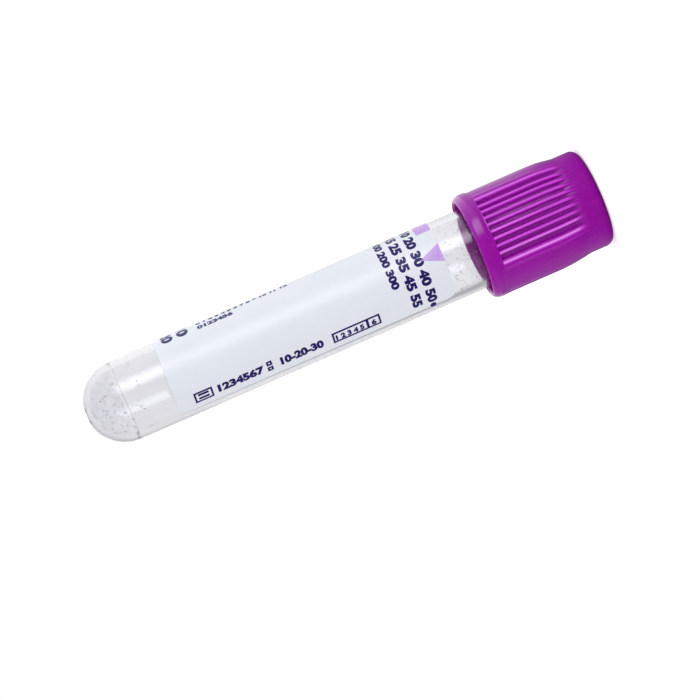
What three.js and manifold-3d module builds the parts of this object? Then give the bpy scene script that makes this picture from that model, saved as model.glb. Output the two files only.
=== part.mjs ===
// Blood collection tube with its safety closure, standing on the closure's flat top.
// Millimetres, +Z up along the tube's axis: the closure's top face lies on z = 0, the
// tube's mouth is inside the closure and its round end points up. The front is -Y.

import * as THREE from 'three';
import { mergeVertices } from 'three/addons/utils/BufferGeometryUtils.js';
import Module from 'manifold-3d';

// ---- driving dimensions -------------------------------------------------------------

// Tube: one clear moulding, slightly tapered, with a hemispherical end. Its length runs
// from the rim to the top of the hemisphere, and the gate mark is a recess in that top.
const TUBE_LENGTH = 75;
const TUBE_MOUTH_RADIUS = 6.3;
const TUBE_TAPER = 0.09;
const TUBE_WALL = 1.0;
const RIM_ROUND = 0.3;
const GATE_RADIUS = 1.35;
const GATE_DEPTH = 0.15;

// Shield: the moulded outer cap, open at the tube's side. Its radii are stacked outwards
// from the tube: a hollow, the skirt's wall, and then the lip's overhang or the neck's inset.
const SHIELD_HEIGHT = 20.3;
const SKIRT_HOLLOW = 1.05;
const SKIRT_WALL = 0.95;
const LIP_OVERHANG = 0.08;
const LIP_WALL = 0.78;
const LIP_ROUND_HEIGHT = 1.25;
const LIP_BAND_HEIGHT = 2.4;
const NECK_INSET = 0.6;
const NECK_HEIGHT = 3.95;
const NECK_ARC_HEIGHT = 6.05;
const TOP_ROUND = 1.3;
const TOP_WALL = 1.6;
const HOLE_RADIUS = 3.9;
const HOLE_CHAMFER = 0.25;
const POCKET_WALL = 0.8;
const BEAD_HEIGHT = 0.6;
const BEAD_RUNOUT = 0.9;

// Grip pattern round the shield, in degrees: three smooth panels with a ridge along each
// side, and groups of ribs between them, one group wider than the other two.
const RIB_GROUP_FRONT = -78;
const WIDE_GROUP_ANGLE = 146;
const PANEL_HALF_ANGLE = 24;
const RIDGE_ANGLE = 11.5;
const EDGE_GROOVE_ANGLE = 7.6;
const RIB_PITCH = 8.2;
const RIB_TOP_ANGLE = 2.8;
const GROOVE_DRAFT_ANGLE = 0.9;
const GROOVE_DEPTH = 0.42;
const PANEL_DEPTH = 0.18;
const PANEL_FOOT_HEIGHT = 1.1;

// Stopper: one rubber moulding, a flange in the shield and a plug in the tube.
const FLANGE_HEIGHT = 6.75;
const FLANGE_CHAMFER = 0.4;
const WELL_RADIUS = 3.4;
const WELL_MOUTH_RADIUS = 3.65;
const WELL_DEPTH = 4.4;
const SEPTUM_THICKNESS = 4.0;
const PLUG_LENGTH = 7.3;
const PLUG_TAPER_HEIGHT = 1.2;
const PLUG_TAPER = 0.65;
const CAVITY_RADIUS = 2.75;

// Label: one film wrapped round the tube, with a clear window left open.
const LABEL_LENGTH = 45.2;
const LABEL_TO_DOME = 6.9;
const LABEL_THICKNESS = 0.12;
const LABEL_START_ANGLE = -148;
const LABEL_WRAP_ANGLE = 295;

// Fits.
const FIT_GAP = 0.25;
const BEAD_CLEARANCE = 0.15;
const LABEL_CLEARANCE = 0.05;

// Facets.
const ROUND_SEGMENTS = 60;
const CORNER_SEGMENTS = 4;
const RIM_SEGMENTS = 2;
const DOME_SEGMENTS = 9;
const PANEL_FACET_ANGLE = 6;
const CUT_MARGIN = 0.5;

// ---- derived radii, from the tube's bore outwards -----------------------------------

const boreRadius = TUBE_MOUTH_RADIUS - TUBE_WALL;
const domeRadius = TUBE_MOUTH_RADIUS - TUBE_TAPER;
const beadRadius = TUBE_MOUTH_RADIUS + BEAD_CLEARANCE;
const skirtBoreRadius = TUBE_MOUTH_RADIUS + SKIRT_HOLLOW;
const bodyRadius = skirtBoreRadius + SKIRT_WALL;
const lipRadius = bodyRadius + LIP_OVERHANG;
const neckRadius = bodyRadius - NECK_INSET;
const pocketRadius = neckRadius - POCKET_WALL;

// ---- derived places along the axis --------------------------------------------------

const flangeStart = TOP_WALL + FIT_GAP;
const flangeEnd = flangeStart + FLANGE_HEIGHT;
const rimZ = flangeEnd + FIT_GAP;
const domeZ = rimZ + TUBE_LENGTH - domeRadius;
const lipBandZ = SHIELD_HEIGHT - LIP_BAND_HEIGHT;
const bodyZ = NECK_HEIGHT + NECK_ARC_HEIGHT;

// ---- helpers ------------------------------------------------------------------------

const wasm = await Module();
wasm.setup();

const radians = THREE.MathUtils.degToRad;
const point = (radius, z) => new THREE.Vector2(radius, z);

/** Points of an arc in a profile, from one angle to another, in degrees. */
function arc(centreRadius, centreZ, radius, fromAngle, toAngle, segments = CORNER_SEGMENTS) {
  const points = [];
  for (let i = 0; i <= segments; i += 1) {
    const angle = radians(fromAngle + ((toAngle - fromAngle) * i) / segments);
    points.push(point(centreRadius + radius * Math.cos(angle), centreZ + radius * Math.sin(angle)));
  }
  return points;
}

/** A body turned round the Z axis from a profile of (radius, z) points. */
function revolve(profile) {
  return new THREE.LatheGeometry(profile, ROUND_SEGMENTS).rotateX(Math.PI / 2);
}

/** A closed three.js geometry as a solid that can be cut and joined. */
function toSolid(geometry) {
  const bare = geometry.clone();
  bare.deleteAttribute('normal');
  bare.deleteAttribute('uv');
  const merged = mergeVertices(bare);
  const mesh = new wasm.Mesh({
    numProp: 3,
    vertProperties: new Float32Array(merged.attributes.position.array),
    triVerts: new Uint32Array(merged.index.array),
  });
  return new wasm.Manifold(mesh);
}

/** A solid back as a three.js geometry. */
function toGeometry(solid) {
  const mesh = solid.getMesh();
  const geometry = new THREE.BufferGeometry();
  geometry.setAttribute('position', new THREE.BufferAttribute(mesh.vertProperties, 3));
  geometry.setIndex(new THREE.BufferAttribute(mesh.triVerts, 1));
  geometry.computeVertexNormals();
  return geometry;
}

/** An upright prism over an outline of [radius, degrees] points. */
function prism(outline, fromZ, toZ) {
  const corners = outline.map(([radius, degrees]) => {
    const angle = radians(degrees);
    return point(radius * Math.cos(angle), radius * Math.sin(angle));
  });
  const options = { depth: toZ - fromZ, bevelEnabled: false, steps: 1 };
  return new THREE.ExtrudeGeometry(new THREE.Shape(corners), options).translate(0, 0, fromZ);
}

/** A slice of a round body: everything between two angles, out to a radius. */
function sector(fromAngle, toAngle, radius, fromZ, toZ) {
  const outline = [[0, fromAngle]];
  const steps = Math.ceil((toAngle - fromAngle) / PANEL_FACET_ANGLE);
  for (let i = 0; i <= steps; i += 1) {
    outline.push([radius, fromAngle + ((toAngle - fromAngle) * i) / steps]);
  }
  return prism(outline, fromZ, toZ);
}

function namedMesh(name, geometry, material) {
  const mesh = new THREE.Mesh(geometry, new THREE.MeshStandardMaterial(material));
  mesh.name = name;
  return mesh;
}

// ---- shield -------------------------------------------------------------------------

/** The convex arc that draws the body in to the neck, from the neck up to the body. */
function neckArc() {
  const radius = (NECK_ARC_HEIGHT ** 2 + NECK_INSET ** 2) / (2 * NECK_INSET);
  const sweep = THREE.MathUtils.radToDeg(Math.asin(NECK_ARC_HEIGHT / radius));
  return arc(bodyRadius - radius, bodyZ, radius, -sweep, 0);
}

/** Quarter ellipse of the lip, from the band round to the open edge. */
function lipRound() {
  const points = [];
  for (let i = 0; i <= CORNER_SEGMENTS; i += 1) {
    const angle = (Math.PI / 2) * (i / CORNER_SEGMENTS);
    const radius = lipRadius - LIP_WALL * (1 - Math.cos(angle));
    points.push(point(radius, SHIELD_HEIGHT - LIP_ROUND_HEIGHT * (1 - Math.sin(angle))));
  }
  return points;
}

function shieldShell() {
  const lipBore = lipRadius - LIP_WALL;
  const boreChamfer = lipBore - skirtBoreRadius;
  const beadEnd = rimZ + BEAD_HEIGHT;
  const profile = [
    point(HOLE_RADIUS + HOLE_CHAMFER, 0),
    ...arc(neckRadius - TOP_ROUND, TOP_ROUND, TOP_ROUND, -90, 0),
    ...neckArc(),
    point(bodyRadius, lipBandZ - LIP_OVERHANG),
    point(lipRadius, lipBandZ),
    ...lipRound(),
    point(skirtBoreRadius, SHIELD_HEIGHT - boreChamfer),
    point(skirtBoreRadius, beadEnd + BEAD_RUNOUT),
    point(beadRadius, beadEnd),
    point(beadRadius, rimZ),
    point(pocketRadius, flangeEnd),
    point(pocketRadius, TOP_WALL),
    point(HOLE_RADIUS, TOP_WALL),
    point(HOLE_RADIUS, HOLE_CHAMFER),
    point(HOLE_RADIUS + HOLE_CHAMFER, 0),
  ];
  return revolve(profile);
}

/** Ring that planes the panels: a shallow cut along the body and a ramp at the lip. */
function panelRing() {
  const panelRadius = bodyRadius - PANEL_DEPTH;
  const outside = lipRadius + CUT_MARGIN;
  const footZ = lipBandZ + PANEL_FOOT_HEIGHT;
  const slope = (lipRadius - panelRadius) / PANEL_FOOT_HEIGHT;
  const profile = [
    point(panelRadius, NECK_HEIGHT),
    point(outside, NECK_HEIGHT),
    point(outside, footZ + CUT_MARGIN / slope),
    point(panelRadius, lipBandZ),
    point(panelRadius, NECK_HEIGHT),
  ];
  return revolve(profile);
}

/** The three panel centres and the rib groups between them, in degrees. */
function gripLayout() {
  const start = RIB_GROUP_FRONT - WIDE_GROUP_ANGLE / 2;
  const end = RIB_GROUP_FRONT + WIDE_GROUP_ANGLE / 2;
  const back = RIB_GROUP_FRONT + 180;
  return { panels: [start, end, back], groups: [[start, end], [end, back], [back, start + 360]] };
}

/** Start and end angles of every groove of the ribs between two panel centres. */
function grooveSpans([from, to]) {
  const ridgeEnd = PANEL_HALF_ANGLE + RIDGE_ANGLE;
  const firstRib = from + ridgeEnd + EDGE_GROOVE_ANGLE + RIB_TOP_ANGLE / 2;
  const lastRib = to - ridgeEnd - EDGE_GROOVE_ANGLE - RIB_TOP_ANGLE / 2;
  const steps = Math.max(0, Math.round((lastRib - firstRib) / RIB_PITCH));
  const spans = [];
  let start = from + ridgeEnd;
  for (let i = 0; i <= steps; i += 1) {
    const share = steps > 0 ? i / steps : 1 / 2;
    const rib = firstRib + (lastRib - firstRib) * share;
    spans.push([start, rib - RIB_TOP_ANGLE / 2]);
    start = rib + RIB_TOP_ANGLE / 2;
  }
  spans.push([start, to - ridgeEnd]);
  return spans;
}

/** One groove: flat floor, drafted sides, running out where the body draws in. */
function grooveCut([fromAngle, toAngle]) {
  const floor = bodyRadius - GROOVE_DEPTH;
  const outside = bodyRadius + CUT_MARGIN;
  const spread = GROOVE_DRAFT_ANGLE * (CUT_MARGIN / GROOVE_DEPTH);
  const outline = [
    [floor, fromAngle + GROOVE_DRAFT_ANGLE],
    [outside, fromAngle - spread],
    [outside, toAngle + spread],
    [floor, toAngle - GROOVE_DRAFT_ANGLE],
  ];
  return prism(outline, NECK_HEIGHT, lipBandZ);
}

function shield() {
  const { panels, groups } = gripLayout();
  let body = toSolid(shieldShell());
  const ring = toSolid(panelRing());
  for (const centre of panels) {
    const from = centre - PANEL_HALF_ANGLE;
    const to = centre + PANEL_HALF_ANGLE;
    const slice = sector(from, to, lipRadius + 2 * CUT_MARGIN, 0, SHIELD_HEIGHT);
    body = body.subtract(ring.intersect(toSolid(slice)));
  }
  for (const span of groups.flatMap(grooveSpans)) {
    body = body.subtract(toSolid(grooveCut(span)));
  }
  const purple = { color: 0x9a12a4, roughness: 0.38, metalness: 0 };
  return namedMesh('shield', toGeometry(body), purple);
}

// ---- stopper ------------------------------------------------------------------------

function stopper() {
  const flangeRadius = pocketRadius - FIT_GAP;
  const plugRadius = boreRadius - FIT_GAP;
  const plugEnd = flangeEnd + PLUG_LENGTH;
  const wellFloor = flangeStart + WELL_DEPTH;
  const profile = [
    point(0, wellFloor),
    point(WELL_RADIUS, wellFloor),
    point(WELL_MOUTH_RADIUS, flangeStart),
    point(flangeRadius - FLANGE_CHAMFER, flangeStart),
    point(flangeRadius, flangeStart + FLANGE_CHAMFER),
    point(flangeRadius, flangeEnd),
    point(plugRadius, flangeEnd),
    point(plugRadius, plugEnd - PLUG_TAPER_HEIGHT),
    point(plugRadius - PLUG_TAPER, plugEnd),
    point(CAVITY_RADIUS, plugEnd),
    point(CAVITY_RADIUS, wellFloor + SEPTUM_THICKNESS),
    point(0, wellFloor + SEPTUM_THICKNESS),
  ];
  const rubber = { color: 0x2c0b3c, roughness: 0.7, metalness: 0 };
  return namedMesh('stopper', revolve(profile), rubber);
}

// ---- tube ---------------------------------------------------------------------------

/** Outer radius of the tapered wall at a height. */
function tubeRadiusAt(z) {
  const share = (z - rimZ) / (domeZ - rimZ);
  return TUBE_MOUTH_RADIUS - TUBE_TAPER * share;
}

function tube() {
  const innerDome = domeRadius - TUBE_WALL;
  const gateAngle = THREE.MathUtils.radToDeg(Math.acos(GATE_RADIUS / domeRadius));
  const gateZ = domeZ + domeRadius * Math.sin(radians(gateAngle)) - GATE_DEPTH;
  const profile = [
    point(0, domeZ + innerDome),
    ...arc(0, domeZ, innerDome, 90, 0, DOME_SEGMENTS).slice(1),
    ...arc(boreRadius + RIM_ROUND, rimZ + RIM_ROUND, RIM_ROUND, 180, 270, RIM_SEGMENTS),
    ...arc(TUBE_MOUTH_RADIUS - RIM_ROUND, rimZ + RIM_ROUND, RIM_ROUND, -90, 0, RIM_SEGMENTS),
    ...arc(0, domeZ, domeRadius, 0, gateAngle, DOME_SEGMENTS),
    point(GATE_RADIUS, gateZ),
    point(0, gateZ),
  ];
  const clear = { color: 0xe6e8ee, roughness: 0.05, metalness: 0, transparent: true, opacity: 0.35 };
  return namedMesh('tube', revolve(profile), clear);
}

// ---- label --------------------------------------------------------------------------

function label() {
  const endZ = domeZ - LABEL_TO_DOME;
  const startZ = endZ - LABEL_LENGTH;
  const startRadius = tubeRadiusAt(startZ) + LABEL_CLEARANCE;
  const endRadius = tubeRadiusAt(endZ) + LABEL_CLEARANCE;
  const sleeve = revolve([
    point(startRadius, startZ),
    point(startRadius + LABEL_THICKNESS, startZ),
    point(endRadius + LABEL_THICKNESS, endZ),
    point(endRadius, endZ),
    point(startRadius, startZ),
  ]);
  const gapStart = LABEL_START_ANGLE + LABEL_WRAP_ANGLE;
  const reach = TUBE_MOUTH_RADIUS + 2 * CUT_MARGIN;
  const gap = sector(gapStart, LABEL_START_ANGLE + 360, reach, startZ - CUT_MARGIN, endZ + CUT_MARGIN);
  const film = toSolid(sleeve).subtract(toSolid(gap));
  const paper = { color: 0xeef1fa, roughness: 0.45, metalness: 0 };
  return namedMesh('label', toGeometry(film), paper);
}

// ---- assembly -----------------------------------------------------------------------

const bloodCollectionTube = new THREE.Group();
bloodCollectionTube.add(shield(), stopper(), tube(), label());

export default bloodCollectionTube;
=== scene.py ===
# %% [markdown]
# Blood collection tube
#
# A clear moulded sample tube stands on its purple closure, round end up. Four real
# pieces make it: the closure's outer shield, the rubber stopper inside it, the tube and
# the label film. The label's print and the dried additive on the tube's wall are
# modelled as thin pieces of their own. Everything is drawn in millimetres and is
# scaled to metres when a piece is finished.

import math
import random

import bmesh
import bpy
from mathutils import Matrix, Vector


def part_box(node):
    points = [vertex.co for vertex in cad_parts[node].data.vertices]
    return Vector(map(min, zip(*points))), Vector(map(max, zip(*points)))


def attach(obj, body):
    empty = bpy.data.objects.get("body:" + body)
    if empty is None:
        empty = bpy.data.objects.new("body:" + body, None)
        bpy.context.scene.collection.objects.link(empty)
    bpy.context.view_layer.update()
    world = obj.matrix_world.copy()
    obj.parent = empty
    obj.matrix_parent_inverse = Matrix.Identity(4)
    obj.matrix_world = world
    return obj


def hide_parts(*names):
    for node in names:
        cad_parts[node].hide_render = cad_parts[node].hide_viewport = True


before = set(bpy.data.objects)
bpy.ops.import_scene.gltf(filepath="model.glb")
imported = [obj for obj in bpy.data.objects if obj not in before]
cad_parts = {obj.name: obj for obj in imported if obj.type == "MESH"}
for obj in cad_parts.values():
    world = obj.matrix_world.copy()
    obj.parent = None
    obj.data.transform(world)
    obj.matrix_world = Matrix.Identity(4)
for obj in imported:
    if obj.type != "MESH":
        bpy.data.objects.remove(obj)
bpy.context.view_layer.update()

MM = 0.001
scene = bpy.context.scene


def add_object(name, data):
    """A new object in the scene."""
    made = bpy.data.objects.new(name, data)
    scene.collection.objects.link(made)
    return made


# %% [markdown]
# Sizes
#
# The tube's mouth, its round end and the closure's heights set where everything goes.
# They are read from the frame's boxes, so the looks follow the solids.

# %% Read the sizes from the frame
def node_box(name):
    """Lowest and highest corner of a CAD node, in millimetres."""
    low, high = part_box(name)
    return low / MM, high / MM


_, shield_high = node_box("shield")
stopper_low, stopper_high = node_box("stopper")
tube_low, tube_high = node_box("tube")
label_low, label_high = node_box("label")

GATE_DEPTH = 0.15
TUBE_TAPER = 0.09
RIM_Z = tube_low.z
MOUTH_RADIUS = 6.3
DOME_RADIUS = MOUTH_RADIUS - TUBE_TAPER
DOME_Z = tube_high.z + GATE_DEPTH - DOME_RADIUS
LIP_RADIUS = shield_high.x
SHIELD_HEIGHT = shield_high.z

print(f"rim {RIM_Z:.2f} dome {DOME_Z:.2f} lip {LIP_RADIUS:.2f} shield {SHIELD_HEIGHT:.2f}")
print(f"stopper {stopper_low.z:.2f} to {stopper_high.z:.2f}")
print(f"label {label_low.z:.2f} to {label_high.z:.2f}")

# %% [markdown]
# The camera
#
# A long lens looks at the tube from a little above its middle, and is rolled so that
# the closure lies at the upper right and the round end at the lower left. It comes
# first, because it decides which side of the tube is the front.

# %% Set up the camera
CAMERA_LENS = 190.3
CAMERA_DISTANCE = 558
CAMERA_RISE = math.radians(4.6)
CAMERA_ROLL = math.radians(-113.6)
CAMERA_AIM = Vector((-6.6, 0, 43.5))

level_right = Vector((1, 0, 0))
level_up = Vector((0, math.sin(CAMERA_RISE), math.cos(CAMERA_RISE)))
camera_back = Vector((0, -math.cos(CAMERA_RISE), math.sin(CAMERA_RISE)))
camera_right = math.cos(CAMERA_ROLL) * level_right + math.sin(CAMERA_ROLL) * level_up
camera_up = math.cos(CAMERA_ROLL) * level_up - math.sin(CAMERA_ROLL) * level_right

camera_data = bpy.data.cameras.new("camera")
camera_data.lens = CAMERA_LENS
camera_data.clip_start = 0.01
camera = add_object("camera", camera_data)
turn = Matrix((camera_right, camera_up, camera_back)).transposed().to_4x4()
camera.matrix_world = Matrix.Translation((CAMERA_AIM + CAMERA_DISTANCE * camera_back) * MM) @ turn
scene.camera = camera
scene.view_settings.view_transform = "Standard"
print("camera at", [round(c, 3) for c in camera.matrix_world.translation])

# %% [markdown]
# Helpers for round pieces
#
# Every moulded piece here is round, so it starts as half of its section: a chain of
# edges drawn beside the axis with straight lines and arcs. An arc is one vertex spun
# in the drawing's plane. The chain is then spun round the axis.

# %% Draw a section
AXIS = Vector((0, 0, 1))


def start_section(radius, height):
    """A new bmesh with one vertex of the section, and that vertex."""
    bm = bmesh.new()
    return bm, bm.verts.new((radius, 0, height))


def line_to(bm, start, radius, height):
    """A straight edge to a new vertex."""
    end = bm.verts.new((radius, 0, height))
    bm.edges.new((start, end))
    return end


def arc_to(bm, start, centre, degrees, steps):
    """An arc from a vertex, counter-clockwise round (radius, height)."""
    made = bmesh.ops.spin(
        bm, geom=[start], cent=(centre[0], 0, centre[1]), axis=(0, -1, 0),
        angle=math.radians(degrees), steps=steps,
    )
    return next(g for g in made["geom_last"] if isinstance(g, bmesh.types.BMVert))


def round_corners(bm, corners, radius, segments):
    """Rounds corners of a section or of flat work."""
    bmesh.ops.bevel(
        bm, geom=corners, offset=radius, offset_type="OFFSET", segments=segments,
        profile=0.5, affect="VERTICES", material=-1,
    )


# %% Work on a whole bmesh
MERGE = 1e-4


def shift(bm, vec):
    bmesh.ops.translate(bm, vec=vec, verts=bm.verts[:])


def resize(bm, vec):
    bmesh.ops.scale(bm, vec=vec, verts=bm.verts[:])


def transform(bm, matrix):
    bmesh.ops.transform(bm, matrix=matrix, verts=bm.verts[:])


def to_mesh(name, bm):
    """A mesh with the bmesh's faces. The bmesh is used up."""
    mesh = bpy.data.meshes.new(name)
    bm.to_mesh(mesh)
    bm.free()
    return mesh


def close_up(bm):
    """Joins the seams and turns the faces outwards."""
    bmesh.ops.remove_doubles(bm, verts=bm.verts[:], dist=MERGE)
    bmesh.ops.recalc_face_normals(bm, faces=bm.faces[:])


def spin_section(bm, steps):
    """Spins the section once round the axis."""
    bmesh.ops.spin(
        bm, geom=bm.verts[:] + bm.edges[:], cent=(0, 0, 0), axis=AXIS,
        angle=math.tau, steps=steps, use_merge=True,
    )
    close_up(bm)


# %% [markdown]
# Helpers for finishing a piece
#
# A finished piece has smooth faces with creases where two faces meet sharply, stands in
# metres at the origin, rides on its body and takes its finish from a material slot.

# %% Finish a piece
def make_piece(name, bm, material, body, stands_for=(), crease=42):
    """Makes the object from a bmesh in millimetres and gives it to its body."""
    for face in bm.faces:
        face.smooth = True
    for edge in bm.edges:
        if len(edge.link_faces) == 2:
            edge.smooth = edge.calc_face_angle(0) < math.radians(crease)
    resize(bm, (MM, MM, MM))
    mesh = to_mesh(name, bm)
    mesh.materials.append(material)
    piece = add_object(name, mesh)
    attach(piece, body)
    if stands_for:
        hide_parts(*stands_for)
    mesh.calc_loop_triangles()
    print(name, len(mesh.loop_triangles), "triangles")


# %% [markdown]
# Helpers for materials
#
# A finish is a small graph of nodes. One helper makes a node and feeds its inputs, each
# with a constant or with another node's output. The others are short forms of it.

# %% Make nodes
def feed(tree, node, values):
    """Feeds a node's inputs, by name or number."""
    for key, value in dict(values).items():
        if isinstance(value, bpy.types.NodeSocket):
            tree.links.new(value, node.inputs[key])
        else:
            node.inputs[key].default_value = value


def make_node(tree, kind, values=(), **settings):
    """A shader node with its settings and its inputs."""
    node = tree.nodes.new("ShaderNode" + kind)
    for name, setting in settings.items():
        setattr(node, name, setting)
    feed(tree, node, values)
    return node


def math_node(tree, operation, *inputs):
    return make_node(tree, "Math", enumerate(inputs), operation=operation).outputs[0]


def vector_node(tree, operation, *inputs):
    return make_node(tree, "VectorMath", enumerate(inputs), operation=operation)


def noise_node(tree, vector, scale, detail, roughness):
    values = {"Vector": vector, "Scale": scale, "Detail": detail, "Roughness": roughness}
    return make_node(tree, "TexNoise", values).outputs[0]


def attribute_value(tree, name):
    """A value that the mesh carries."""
    return make_node(tree, "Attribute", attribute_name=name).outputs["Fac"]


def spread_values(tree, value, low, high):
    """Spreads a value of 0 to 1 between two others."""
    values = {"Value": value, "To Min": low, "To Max": high}
    return make_node(tree, "MapRange", values).outputs[0]


def mix_colours(tree, factor, low, high):
    """A colour between two others, each a tuple or a socket. The node has its colours at
    inputs 6 and 7 and output 2."""
    low, high = ((*c, 1) if isinstance(c, tuple) else c for c in (low, high))
    values = {0: factor, 6: low, 7: high}
    return make_node(tree, "Mix", values, data_type="RGBA").outputs[2]


# %% [markdown]
# The moulded mottle
#
# Moulded plastic, rubber and film are never one even tone. Soft clouds show how the melt
# flowed, and a fine grain comes from the mould's skin. The same node group serves every
# finish, each with its own scales, and puts out a tone and a height.

# %% Build the mottle group
CLOUD_CONTRAST = 2.4


def build_mottle():
    group = bpy.data.node_groups.new("moulded_mottle", "ShaderNodeTree")
    new_socket = group.interface.new_socket
    for name in ("Cloud Scale", "Grain Scale", "Grain Share"):
        new_socket(name, in_out="INPUT", socket_type="NodeSocketFloat")
    new_socket("Stretch", in_out="INPUT", socket_type="NodeSocketVector")
    for name in ("Tone", "Height"):
        new_socket(name, in_out="OUTPUT", socket_type="NodeSocketFloat")
    entry = group.nodes.new("NodeGroupInput").outputs
    place = make_node(group, "TexCoord").outputs["Object"]
    stretched = vector_node(group, "MULTIPLY", place, entry["Stretch"]).outputs[0]
    cloud = noise_node(group, stretched, entry["Cloud Scale"], 4, 0.6)
    grain = noise_node(group, stretched, entry["Grain Scale"], 2, 0.5)
    spread = math_node(group, "MULTIPLY_ADD", cloud, CLOUD_CONTRAST, 0.5 - CLOUD_CONTRAST / 2)
    soft = math_node(group, "MAXIMUM", math_node(group, "MINIMUM", spread, 1), 0)
    rest = math_node(group, "SUBTRACT", 1, entry["Grain Share"])
    fine = math_node(group, "MULTIPLY", grain, entry["Grain Share"])
    feed(group, group.nodes.new("NodeGroupOutput"), {
        "Tone": math_node(group, "MULTIPLY_ADD", soft, rest, fine),
        "Height": math_node(group, "MULTIPLY_ADD", cloud, rest, fine),
    })
    return group


mottle_group = build_mottle()
print("group", mottle_group.name, [s.name for s in mottle_group.interface.items_tree])


# %% Build a finish
def new_material(name):
    """A node material with its tree and its Principled shader."""
    material = bpy.data.materials.new(name)
    material.use_nodes = True
    print("finish", name)
    return material, material.node_tree, material.node_tree.nodes["Principled BSDF"]


def add_mottle(tree, cloud, grain, share, stretch=(1, 1, 1)):
    """Places the mottle group. The scales are for features of that many millimetres, and
    a stretch below 1 draws them out along that axis."""
    values = {
        "Cloud Scale": 1 / (cloud * MM), "Grain Scale": 1 / (grain * MM),
        "Grain Share": share, "Stretch": stretch,
    }
    outputs = make_node(tree, "Group", values, node_tree=mottle_group).outputs
    return outputs["Tone"], outputs["Height"]


def set_looks(tree, colour, roughness, height, depth, strength):
    """Gives the shader its colour, roughness and a bump of that depth in millimetres."""
    relief = {"Height": height, "Distance": depth * MM, "Strength": strength}
    normal = make_node(tree, "Bump", relief).outputs[0]
    looks = {"Base Color": colour, "Roughness": roughness, "Normal": normal}
    feed(tree, tree.nodes["Principled BSDF"], looks)


def mottled_finish(name, low, high, roughness, scales, bump, specular=0.5):
    """An opaque finish: two close tones, a range of roughness and a fine bump."""
    material, tree, shader = new_material(name)
    tone, height = add_mottle(tree, *scales)
    colour = mix_colours(tree, tone, low, high)
    set_looks(tree, colour, spread_values(tree, tone, *roughness), height, *bump)
    shader.inputs["Specular IOR Level"].default_value = specular
    return material


# %% [markdown]
# The shield
#
# The shield is the purple cap that fingers grip. It is one moulding in polypropylene: a
# flat top with a hole for the needle, a narrow neck, a body that swells out to the lip,
# and ribs in three groups with a smooth panel between each. It could be cut with
# booleans, but drawing in the columns of a spun body keeps the faces clean and the
# groove sides soft, as moulded ribs are.
#
# Its finish follows the grip. The crowns of the ribs carry a painted highlight: a paler
# colour that stands in for the light they catch, stronger on one side of each panel. The
# grooves stay dull and deep in colour. The inside of the skirt carries a painted glow.
# Three attributes on the mesh say how deep in a groove a point lies, how strong the
# painted highlight on the crowns is there, and whether it is inside the skirt.

# %% Shield finish
GROOVE_LAYER = "groove"
CROWN_HIGHLIGHT_LAYER = "crown_highlight"
SKIRT_GLOW_LAYER = "skirt"
GROOVE_DULLNESS = 0.1
HIGHLIGHT_CONTRAST = 4


def build_shield_finish():
    material, tree, _ = new_material("purple_polypropylene")
    tone, height = add_mottle(tree, cloud=0.9, grain=0.22, share=0.45)
    groove = attribute_value(tree, GROOVE_LAYER)
    crown_highlight = attribute_value(tree, CROWN_HIGHLIGHT_LAYER)
    body = mix_colours(tree, tone, (0.27, 0.0, 0.31), (0.37, 0.0, 0.41))
    # Painted glow: the skirt's inside is a paler purple that stands in for light reaching it.
    lit = mix_colours(tree, attribute_value(tree, SKIRT_GLOW_LAYER), body, (0.52, 0.01, 0.46))
    deep = mix_colours(tree, groove, lit, (0.30, 0.0, 0.345))
    # Painted highlight: the crowns are paler, and whitest where the highlight is strongest.
    highlight_peak = math_node(tree, "POWER", crown_highlight, HIGHLIGHT_CONTRAST)
    pale = mix_colours(tree, highlight_peak, (0.86, 0.07, 1.0), (0.97, 0.50, 1.0))
    colour = mix_colours(tree, crown_highlight, deep, pale)
    polished = spread_values(tree, tone, 0.13, 0.20)
    dulled = math_node(tree, "MULTIPLY_ADD", groove, GROOVE_DULLNESS, polished)
    set_looks(tree, colour, dulled, height, depth=0.02, strength=0.22)
    return material


shield_finish = build_shield_finish()

# %% Shield sizes
HOLE_RADIUS = 3.9
HOLE_ROUND = 0.25
TOP_ROUND = 1.3
TOP_WALL = 1.6
NECK_RADIUS = 7.74
NECK_Z = 3.95
NECK_ROWS_Z = (2.2, 2.9, 3.2)
NECK_BEND = 0.5
BODY_RADIUS = 8.32
BODY_Z = 10.0
POCKET_RADIUS = 6.9
BEAD_RADIUS = 6.45
BEAD_TOP_Z = RIM_Z + 0.6
BEAD_RUNOUT_Z = BEAD_TOP_Z + 0.9
SKIRT_RADIUS = 7.35
SKIRT_ROW_Z = 16.5
SKIRT_EDGE_Z = SHIELD_HEIGHT - 0.25
SKIRT_EDGE_ROUND = 0.12
LIP_BAND_Z = SHIELD_HEIGHT - 2.4
LIP_ROUND_Z = SHIELD_HEIGHT - 1.45
LIP_BULGE = 0.08
LIP_WALL = 0.78
ROWS_BELOW_LIP = (4.0, 0.46, 0.36, 0.26, 0.17, 0.08)
ROWS_ON_LIP = (0.0, 0.12, 0.24, 0.36, 0.55, 0.75)
FLANGE_TOP_Z = stopper_low.z + 6.75


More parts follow.
